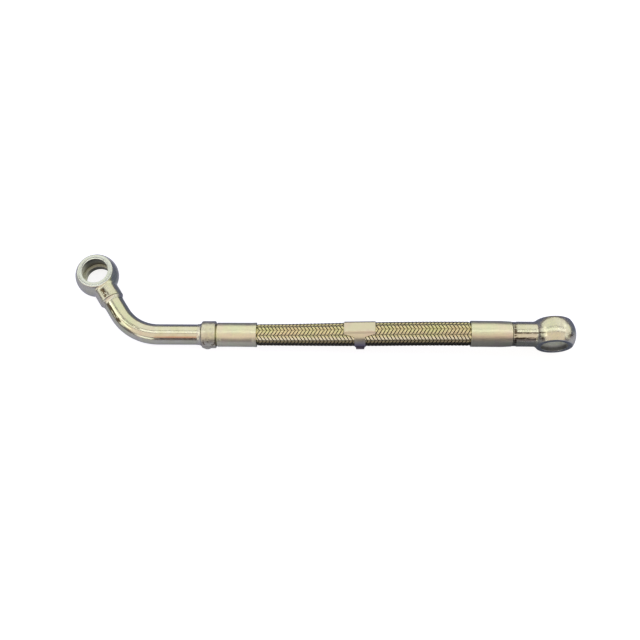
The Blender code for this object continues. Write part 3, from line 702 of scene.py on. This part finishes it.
tail = {"start": 32.7, "shank": 3.7, "flangeStart": 44.0, "flangeEnd": 45.65, "flange": 5.5, "lock": 4.25,
        "lockEnd": 47.45, "root": 2.95, "tip": 3.35, "end": 64.85, "bore": 2.25, "barbs": 4}
tooth = (tail["end"] - tail["lockEnd"]) / tail["barbs"]
tailOutline = [
    (tail["start"], tail["bore"]), (tail["start"], tail["shank"]),
    (tail["flangeStart"], tail["shank"]), (tail["flangeStart"], tail["flange"]),
    (tail["flangeEnd"], tail["flange"]), (tail["flangeEnd"], tail["lock"]), (tail["lockEnd"], tail["lock"]),
]
for i in range(tail["barbs"]):
    barb = tail["lockEnd"] + tooth * i
    tailOutline += [(barb, tail["root"]), (barb + tooth * 0.25, tail["tip"])]
tailOutline += [(tail["end"], tail["root"]), (tail["end"], tail["bore"])]
points, faces = latheData(tailOutline, 64, closed=True)
addPiece("hoseTail", points, faces, leftRun, ferruleZinc, ["hose_tail"], "zinc_steel")

leftFerrule = {
    "start": 45.95, "outer": 6.50, "inner": 5.45, "lip": 1.5, "lipBore": 4.55, "round": 0.6, "segments": 144,
    "flare": 0.15, "flareLength": 2.0, "lineFrom": 1.7, "lineHalf": 0.25, "lineDepth": 0.05,
}
crimp = {"depth": 0.05, "scale": 0.35, "leftSeed": 2.0, "rightSeed": 6.0}


def crimped(point, seed):
    # The crimping dies leave a faint waviness on the barrel
    along, y, z = point
    radius = hypot(y, z)
    grown = radius + crimp["depth"] * wobble((along * 0.35, y, z), crimp["scale"], seed)
    return along, y * grown / radius, z * grown / radius


start, mouth, outer = leftFerrule["start"], line["leftMouth"], leftFerrule["outer"]
lipEnd, dip = start + leftFerrule["lip"], outer - leftFerrule["lineDepth"]
firstLine, half = start + leftFerrule["lineFrom"], leftFerrule["lineHalf"]
flareStart = mouth - leftFerrule["flareLength"]
points, faces = latheData(densified(rounded([
    (start, leftFerrule["lipBore"], 0), (start, outer, leftFerrule["round"]),
    (firstLine, outer, 0), (firstLine + half, dip, 0.1), (firstLine + 2 * half, outer, 0),
    (flareStart - 2 * half, outer, 0), (flareStart - half, dip, 0.1), (flareStart, outer, 0),
    (mouth, outer + leftFerrule["flare"], 0.22), (mouth, leftFerrule["inner"], 0.2),
    (lipEnd, leftFerrule["inner"], 0), (lipEnd, leftFerrule["lipBore"], 0),
]), 0.8), leftFerrule["segments"], closed=True)
points = [crimped(p, crimp["leftSeed"]) for p in points]
addPiece("leftFerrule", points, faces, leftRun, ferruleZinc, ["left_ferrule"], "zinc_steel")

rightFerrule = {
    "outer": 6.95, "inner": 6.1, "lip": 1.5, "lipBore": 4.55, "tailDrop": 0.3, "tailLength": 5.6, "round": 0.6,
    "segments": 144, "tan": [(-1.0, 23.0, 35.0, 17.0, 0.8)],
}
end, mouth = line["rightEye"] - line["rightFerruleEnd"], line["rightEye"] - line["rightMouth"]
outer, lipEnd = rightFerrule["outer"], end + rightFerrule["lip"]
points, faces = latheData(densified(rounded([
    (end, rightFerrule["lipBore"], 0), (end, outer - rightFerrule["tailDrop"], 0.3),
    (end + rightFerrule["tailLength"], outer, 2.0), (mouth, outer, rightFerrule["round"]),
    (mouth, rightFerrule["inner"], 0.2), (lipEnd, rightFerrule["inner"], 0),
    (lipEnd, rightFerrule["lipBore"], 0),
]), 0.8), rightFerrule["segments"], closed=True)
points = [crimped(p, crimp["rightSeed"]) for p in points]
piece = addPiece("rightFerrule", points, faces, rightRun, ferruleZinc, ["right_ferrule"], "zinc_steel")
ferruleAxis = [runPoint(line["rightMouth"] + s) for s in (0.0, 11.0, 22.0)]
# a painted pink-tan reflection band on the right ferrule
markAlong(piece, "tan", ferruleAxis, rightFerrule["tan"])
print("ferrules made")

hose = {
    "start": 47.75, "end": 201.45, "bore": 3.65, "liner": 4.75, "growth": 0.65, "growthEnd": 0.6,
    "squeeze": 0.4, "release": 0.9, "crest": 1.10, "crimpDrop": 0.30,
    "linerSides": 48, "linerSteps": 80, "linerSwell": 0.22,
    "rows": 12, "pitch": 1.93, "startAngle": 27.0, "carriers": 12, "wires": 4, "wire": 0.28,
    "wireSpacing": 0.285, "dive": 0.46, "crimpedDive": 0.3, "crown": 0.05, "jitter": 0.02,
    "wireSides": 5, "step": 7.5, "hidden": 3.0, "wave": 0.55,
    # where the strands' shading normals lean up to the light, and where a painted highlight and painted shade
    # lie, by degrees from the top towards the front
    "catch": 1.6, "rollFrom": 30.0, "rollTo": 70.0, "rollFades": (12.0, 10.0),
    "glintFrom": 12.0, "glintTo": 30.0, "glintFade": 6.0, "glintShare": 0.5,
    "sunkBase": 0.30, "sunkLow": 0.28, "sunkSlope": 1.1,
    "underFrom": 57.0, "underFade": 12.0, "underShade": 0.92,
}


def crimpShare(station):
    return 1 - min(smooth((station - line["leftMouth"]) / hose["release"]),
                   smooth((line["rightMouth"] - station) / hose["release"]))


def linerRadius(station):
    grown = smooth((station - line["leftMouth"]) / (exposed * hose["growthEnd"]))
    return hose["liner"] + hose["growth"] * grown - hose["squeeze"] * crimpShare(station)


def crestRadius(station):
    return linerRadius(station) + hose["crest"] - hose["crimpDrop"] * crimpShare(station)


linerLength = hose["end"] - hose["start"]
linerStations = [hose["start"] + linerLength * i / hose["linerSteps"] for i in range(hose["linerSteps"] + 1)]


def linerRing(station, radius):
    centre, direction, up = runFrame(station)
    return roundRing((centre, up, front), radius, hose["linerSides"])


rings = [linerRing(s, linerRadius(s) + hose["linerSwell"] * (1 - crimpShare(s))) for s in linerStations]
rings += [linerRing(s, hose["bore"]) for s in reversed(linerStations)]
addPiece("hoseLiner", *ringTube(rings, closed=True), inPlace, linerRubber, ["hose_liner"], "liner_rubber")

# Centres and directions along the hose, looked up by the wires
table = [runFrame(hose["start"] + 0.5 * i) for i in range(int(linerLength * 2) + 2)]


def hoseFrame(station):
    place = min(max((station - hose["start"]) * 2, 0), len(table) - 1.001)
    index, share = int(place), place - int(place)
    first, second = table[index], table[index + 1]
    return first[0].lerp(second[0], share), first[1], first[2]


def buildWires(name, hand):
    # One hand of the braid: it rides over the other in every second row, and dives under it between
    lead = hose["pitch"] * hose["carriers"]
    stepAngle = radians(hose["step"])
    perRow = round(2 * pi / hose["rows"] / stepAngle)
    first, last = line["leftMouth"] - hose["hidden"], line["rightMouth"] + hose["hidden"]
    stepAlong = lead * stepAngle / (2 * pi)
    count = int((last - first) / stepAlong)
    points, faces, braidShade, glint, facing = [], [], [], [], []
    for carrier in range(hose["carriers"]):
        for wire in range(hose["wires"]):
            offset = (wire - (hose["wires"] - 1) / 2) * hose["wireSpacing"] * 2 / sqrt(3)
            base = carrier * hose["pitch"] + offset
            jitter = hose["jitter"] * wobble((carrier, wire, hand), 1.7, 4.0)
            # the outer wires of a strand lie lower
            crown = hose["crown"] * (offset / hose["wireSpacing"]) ** 2 / 2
            path = []
            for i in range(-perRow * 12, count + perRow * 12):
                along = base + i * stepAlong
                if along < 0 or along > last - first:
                    continue
                angle = radians(hose["startAngle"]) + hand * i * stepAngle
                within = (hand * i / perRow) % 2
                over = sin(pi * within)
                rising = cos(pi * within)
                over = (abs(over) ** 0.6) * (1 if over > 0 else -1) * hand
                path.append((first + along, angle, over, rising))
            start = len(points)
            for index, (station, angle, over, rising) in enumerate(path):
                centre, direction, up = hoseFrame(station)
                out = up * cos(angle) + front * sin(angle)
                around = -up * sin(angle) + front * cos(angle)
                middle = crestRadius(station) - hose["wire"] / 2 - hose["dive"] / 2 + jitter
                loose = 1 - hose["crimpedDive"] * crimpShare(station)
                radius = middle + over * hose["dive"] / 2 * loose - crown
                # the strand runs at its helix angle, so its section stands square to it
                slope = 2 * pi * radius / lead
                side = (direction * slope - around * hand).normalized()
                core = centre + out * radius
                course = (direction + around * hand * slope).normalized()
                ribbon = out - course * hose["wave"] * rising  # how a strand leans as it climbs or dives
                # on the lower front the strands' shading normals lean upwards to catch the light, and a painted
                # highlight is mixed into their colour there and, weaker, on the upper front rows
                fromTop = degrees(angle % (2 * pi))
                low = window(fromTop, hose["rollFrom"], hose["rollTo"], *hose["rollFades"])
                high = window(fromTop, hose["glintFrom"], hose["glintTo"], hose["glintFade"], hose["glintFade"])
                rolled = low * max(over, 0)
                ribbon = (ribbon + up * hose["catch"] * rolled).normalized()
                # painted shade: darker on the hose's lower front and underside, and where a strand dives under
                # the other hand
                fromUnder = abs(fromTop - 180)
                under = hose["underShade"] * smooth((180 - hose["underFrom"] - fromUnder) / hose["underFade"])
                dived = hose["sunkBase"] + hose["sunkLow"] * low - over * hose["sunkSlope"]
                for k in range(hose["wireSides"]):
                    turn = 2 * pi * (k + 0.25) / hose["wireSides"]
                    points.append(core + (out * cos(turn) + side * sin(turn)) * hose["wire"] / 2)
                    braidShade.append(min(max(dived, under), 1.0))
                    glint.append(max(rolled, hose["glintShare"] * high * max(over, 0)))
                    facing.append(ribbon)
                if index:
                    here, there = start + (index - 1) * hose["wireSides"], start + index * hose["wireSides"]
                    for k in range(hose["wireSides"]):
                        j = (k + 1) % hose["wireSides"]
                        faces.append((here + k, here + j, there + j, there + k))
            faces.append(tuple(range(start, start + hose["wireSides"])))
            faces.append(tuple(range(len(points) - hose["wireSides"], len(points)))[::-1])
    mesh = bpy.data.meshes.new(name)
    mesh.from_pydata([p * mm for p in points], [], faces)
    mesh.attributes.new("braidShade", "FLOAT", "POINT").data.foreach_set("value", braidShade)
    mesh.attributes.new("glint", "FLOAT", "POINT").data.foreach_set("value", glint)
    facing = [component for vector in facing for component in vector]
    mesh.attributes.new("facing", "FLOAT_VECTOR", "POINT").data.foreach_set("vector", facing)
    return finishPiece(name, mesh, braidWire, ["wire_braid"], 80)


for name, hand in (("braidWiresOneWay", 1), ("braidWiresOtherWay", -1)):
    piece = buildWires(name, hand)
    print(name, "has", sum(len(p.vertices) - 2 for p in piece.data.polygons), "triangles")

band = {
    "middle": 122.85, "width": 16.8, "strap": 5.8, "thickness": 0.32, "snug": 0.05,
    "plateBack": -62.0, "plateFront": 19.0, "taper": 17.0, "taperShape": 0.8,
    "flatCentre": -15.0, "flatHalf": 22.0, "flatFade": 14.0,
    "step": 1.5, "across": 14, "edge": 0.12, "wave": 0.03, "under": [(0.0, 24.0, 110.0, 62.0, 2.0)],
}


def bandHalf(angle):
    past = max(angle - band["plateFront"], band["plateBack"] - angle, 0)
    share = min(past / band["taper"], 1)
    return (band["width"] + (band["strap"] - band["width"]) * smooth(share) ** band["taperShape"]) / 2


def bandInner(angle, snug):
    off = abs(angle - band["flatCentre"])
    facet = snug / cos(radians(min(off, band["flatHalf"])))
    return snug + (facet - snug) * (1 - smooth((off - band["flatHalf"]) / band["flatFade"]))


bandCentre, bandDirection, bandUp = runFrame(band["middle"])
snug = crestRadius(band["middle"] + band["width"] / 2) + band["snug"]
rings = []
count = round(360 / band["step"])
for i in range(count):
    angle = band["plateBack"] - band["taper"] + 360 * i / count
    turned = angle if angle < 240 else angle - 360
    half = bandHalf(turned)
    inner = bandInner(turned, snug)
    out = bandUp * cos(radians(turned)) + front * sin(radians(turned))
    ring = []
    wave = band["wave"] * wobble((turned * 0.05, 1.0, 2.0), 1.0, 3.0)
    edge = band["edge"]
    outside = inner + band["thickness"]
    profile = [(-half + edge, inner), (-half, inner + edge), (-half, outside - edge), (-half + edge, outside)]
    spacing = (2 * half - 2 * edge) / band["across"]
    profile += [(-half + edge + spacing * k, outside + wave) for k in range(1, band["across"])]
    profile += [(half - edge, outside), (half, outside - edge), (half, inner + edge), (half - edge, inner)]
    rings.append([bandCentre + bandDirection * x + out * r for x, r in profile])
idBand = addPiece("idBand", *ringTube(rings, closed=True), inPlace, bandZinc, ["id_band"], "band_sheet", 40)

# The strap's end is folded back on itself into a small ear under the hose
ear = {
    "layers": 3, "angle": 111.0, "span": 15.0, "width": 4.8, "rise": 1.2, "gap": 0.03, "sink": 0.05,
    "narrower": 0.12, "shorter": 0.10, "soft": 0.10, "softEdge": 0.12, "back": 1.6, "slope": 0.5,
    # a layer's upper side: (share of the half span, lift)
    "top": [(-1.5, -0.06), (-0.95, 0.0), (-0.4, 0.02), (0.4, 0.02), (0.88, 0.0), (1, -0.06)],
}
points, faces = [], []
earBase = snug + band["thickness"] - ear["sink"]
layer = (ear["rise"] + ear["sink"]) / ear["layers"]
for k in range(ear["layers"]):
    low, high = earBase + layer * k + (ear["gap"] if k else 0), earBase + layer * (k + 1)
    half = ear["width"] / 2 - ear["narrower"] * k
    spread = ear["span"] / 2 * (1 - ear["shorter"] * k)
    slope = ear["slope"] * (ear["layers"] - k) / ear["layers"]
    rings = []
    inset = half - ear["softEdge"]
    for x, soft in ((-half, ear["soft"]), (-inset, 0.0), (0, 0.0), (inset, 0.0), (half, ear["soft"])):
        ring = []
        profile = [(-ear["back"] - slope, low + soft)]
        profile += [(share, high - soft + lift) for share, lift in ear["top"]]
        for share, r in profile + [(1, low + soft)]:
            angle = radians(ear["angle"] + spread * share * (1 - soft * 0.4))
            ring.append(bandCentre + bandDirection * x + (bandUp * cos(angle) + front * sin(angle)) * r)
        rings.append(ring)
    start = len(points)
    stackPoints, stackFaces = ringTube(rings, closed=False)
    points += stackPoints
    faces += [tuple(v + start for v in face) for face in stackFaces]
    size = len(rings[0])
    faces.append(tuple(start + v for v in range(size))[::-1])
    faces.append(tuple(start + len(stackPoints) - size + v for v in range(size)))
idBandEar = addPiece("idBandEar", points, faces, inPlace, bandZinc, ["id_band"], "band_sheet", 40)
bandAxis = [bandCentre - bandDirection * 12, bandCentre, bandCentre + bandDirection * 12]
# painted shade on the lower side of the band and its ear
for piece in (idBand, idBandEar):
    markAlong(piece, "under", bandAxis, band["under"])
print("ID band made")

studio = {
    "floorSize": 3.0, "floorDrop": 0.00005, "floorColour": (0.45, 0.47, 0.56), "floorRough": 0.9,
    "seenGlow": 0.82, "seenTint": (1.0, 0.99, 0.96), "glossGlow": 0.14, "glossTint": (0.25, 0.32, 1.0),
    "room": (0.15, 0.13, 0.19), "lampPower": 4.0,
}
# Parts of the floor that the line mirrors otherwise, their reaches in metres
farFloor = {
    "colour": (0.10, 0.11, 0.14), "seenGlow": 0.955, "glossTint": (0.15, 0.17, 0.36),
    "fadeX": (-0.10, 0.12), "endX": (0.136, 0.152), "nearY": (-0.028, -0.010),
}
behindFloor = {"colour": (0.12, 0.13, 0.17), "fadeX": (-0.114, -0.102), "fadeY": (-0.016, -0.006)}
eyeFloor = {"brighter": 3.6, "tint": (1.0, 1.0, 0.96), "reach": (0.008, 0.013)}


def combined(nodes, links, operation, first, second):
    node = nodes.new("ShaderNodeMath")
    node.operation = operation
    links.new(first, node.inputs[0])
    links.new(second, node.inputs[1])
    return node.outputs["Value"]


def floorMaterial(name):
    material, nodes, links, shader, place = newMaterial(name)
    shader.inputs["Roughness"].default_value = studio["floorRough"]
    shader.inputs["Specular IOR Level"].default_value = 0.0
    split = nodes.new("ShaderNodeSeparateXYZ")
    links.new(place, split.inputs["Vector"])
    x, y = split.outputs["X"], split.outputs["Y"]
    rays = nodes.new("ShaderNodeLightPath").outputs
    # painted shade: the floor is darker towards the right on the near side only, which the right end's lower
    # sides mirror
    far = ranged(nodes, links, x, 0.0, 1.0, *farFloor["fadeX"])
    far = combined(nodes, links, "MULTIPLY", far, ranged(nodes, links, y, 1.0, 0.0, *farFloor["nearY"]))
    far = combined(nodes, links, "MULTIPLY", far, ranged(nodes, links, x, 1.0, 0.0, *farFloor["endX"]))
    colour = mixed(nodes, links, far, studio["floorColour"], farFloor["colour"])
    tone = noiseNode(nodes, links, place, 3.0, detail=2)
    tone = ramp(nodes, links, tone, [(0.3, (0.97, 0.97, 0.97)), (0.7, (1, 1, 1))])
    colour = mixed(nodes, links, 1.0, colour, tone, "MULTIPLY")
    # darker behind the line where the line mirrors it, which gives the upper edges their dark rim
    behind = combined(nodes, links, "MULTIPLY", ranged(nodes, links, x, 0.0, 1.0, *behindFloor["fadeX"]),
                      ranged(nodes, links, y, 0.0, 1.0, *behindFloor["fadeY"]))
    behind = combined(nodes, links, "MULTIPLY", rays["Is Glossy Ray"], behind)
    links.new(mixed(nodes, links, behind, colour, behindFloor["colour"]), shader.inputs["Base Color"])
    # the bore of the left eye mirrors the floor that it stands on, which glows brighter there for glossy rays
    # only: a painted reflection of light in the bore
    apart = nodes.new("ShaderNodeVectorMath")
    apart.operation = "DISTANCE"
    apart.inputs[1].default_value = (leftEyeCentre.x * mm, leftEyeCentre.y * mm, 0)
    links.new(place, apart.inputs[0])
    underEye = ranged(nodes, links, apart.outputs["Value"], 1.0, 0.0, *eyeFloor["reach"])
    tint = mixed(nodes, links, far, studio["glossTint"], farFloor["glossTint"])
    tint = mixed(nodes, links, underEye, tint, eyeFloor["tint"])
    tint = mixed(nodes, links, rays["Is Glossy Ray"], studio["seenTint"], tint)
    links.new(tint, shader.inputs["Emission Color"])
    seen = ranged(nodes, links, far, studio["seenGlow"], farFloor["seenGlow"], 0.0, 1.0)
    shine = studio["glossGlow"]
    shine = ranged(nodes, links, underEye, shine, shine * eyeFloor["brighter"], 0.0, 1.0)
    glow = combined(nodes, links, "MULTIPLY", rays["Is Camera Ray"], seen)
    for ray, strength in (("Is Glossy Ray", shine), ("Is Transmission Ray", seen)):
        glow = combined(nodes, links, "ADD", glow, combined(nodes, links, "MULTIPLY", rays[ray], strength))
    links.new(glow, shader.inputs["Emission Strength"])
    return material


size = studio["floorSize"]
corners = [(size * x, size * y, -studio["floorDrop"]) for x, y in ((-1, -1), (1, -1), (1, 1), (-1, 1))]
floorMesh = bpy.data.meshes.new("floor")
floorMesh.from_pydata(corners, [], [(0, 1, 2, 3)])
floorMesh.materials.append(floorMaterial("floor_pale"))
floorObject = bpy.data.objects.new("floor", floorMesh)
scene.collection.objects.link(floorObject)

world = bpy.data.worlds.new("studio")
scene.world = world
world.use_nodes = True
nodes, links = world.node_tree.nodes, world.node_tree.links
nodes.clear()
output = nodes.new("ShaderNodeOutputWorld")
room = nodes.new("ShaderNodeBackground")
room.inputs["Color"].default_value = (*studio["room"], 1)
white = nodes.new("ShaderNodeBackground")
white.inputs["Color"].default_value = (1, 1, 1, 1)
pick = nodes.new("ShaderNodeMixShader")
path = nodes.new("ShaderNodeLightPath")
links.new(path.outputs["Is Camera Ray"], pick.inputs["Fac"])
links.new(room.outputs["Background"], pick.inputs[1])
links.new(white.outputs["Background"], pick.inputs[2])
links.new(pick.outputs["Shader"], output.inputs["Surface"])

# Long soft boxes over the line, by where they stand: degrees round from the front towards +X, degrees up,
# how many degrees they spread upwards, how long and how bright they are
softBoxes = [
    {"name": "overhead", "round": 180.0, "height": 84.5, "spread": 18.0, "length": 2.4, "distance": 0.9,
     "glow": 0.92, "tint": (0.97, 1.0, 1.10)},
    {"name": "backBox", "round": 180.0, "height": 41.0, "spread": 56.0, "length": 2.8, "distance": 1.1,
     "glow": 0.60, "tint": (0.97, 1.0, 1.05)},
    {"name": "frontFill", "round": 0.0, "height": 57.0, "spread": 50.0, "length": 2.4, "distance": 1.0,
     "glow": 0.52, "tint": (1.0, 0.88, 0.88)},
    {"name": "rightBox", "round": 95.0, "height": 22.0, "spread": 34.0, "length": 1.6, "distance": 1.6,
     "glow": 0.62, "tint": (0.97, 1.0, 1.04)},
    {"name": "leftBox", "round": 270.0, "height": 30.0, "spread": 34.0, "length": 1.4, "distance": 1.6,
     "glow": 0.62, "tint": (0.97, 1.0, 1.08)},
    {"name": "lowLeft", "round": 328.0, "height": 14.0, "spread": 16.0, "length": 0.68, "distance": 1.6,
     "glow": 0.85, "tint": (0.96, 1.0, 1.08)},
]
for box in softBoxes:
    lamp = bpy.data.lights.new(box["name"], "AREA")
    lamp.shape = "RECTANGLE"
    lamp.size = box["length"]
    lamp.size_y = 2 * box["distance"] * tan(radians(box["spread"] / 2))
    lamp.energy = box["glow"] * lamp.size * lamp.size_y * studio["lampPower"]
    lamp.color = box["tint"]
    lampObject = bpy.data.objects.new(box["name"], lamp)
    around, height = radians(box["round"]), radians(box["height"])
    where = Vector((sin(around) * cos(height), -cos(around) * cos(height), sin(height))) * box["distance"]
    lampObject.location = where
    lampObject.rotation_euler = (-where).to_track_quat("-Z", "Y").to_euler()
    scene.collection.objects.link(lampObject)

shot = {
    "target": (-0.50, -7.27, 0.0), "distance": 561.0, "azimuth": 3.03, "elevation": 68.0, "roll": -2.36,
    "lens": 57.49, "sensor": 36.0, "clipStart": 0.01,
}
tilt, swing = radians(shot["elevation"]), radians(shot["azimuth"])
back = Vector((sin(swing) * cos(tilt), -cos(swing) * cos(tilt), sin(tilt)))
right = Vector((cos(swing), sin(swing), 0))
up = back.cross(right)
roll = radians(shot["roll"])
right, up = right * cos(roll) + up * sin(roll), up * cos(roll) - right * sin(roll)
camera = bpy.data.cameras.new("camera")
camera.sensor_fit = "HORIZONTAL"
camera.sensor_width = shot["sensor"]
camera.lens = shot["lens"]
camera.clip_start = shot["clipStart"]
cameraObject = bpy.data.objects.new("camera", camera)
scene.collection.objects.link(cameraObject)
turned = Matrix((right, up, back)).transposed().to_4x4()
stand = (Vector(shot["target"]) + back * shot["distance"]) * mm
cameraObject.matrix_world = Matrix.Translation(stand) @ turned
scene.camera = cameraObject
scene.view_settings.view_transform = "Standard"
print("stage, lamps and camera made")
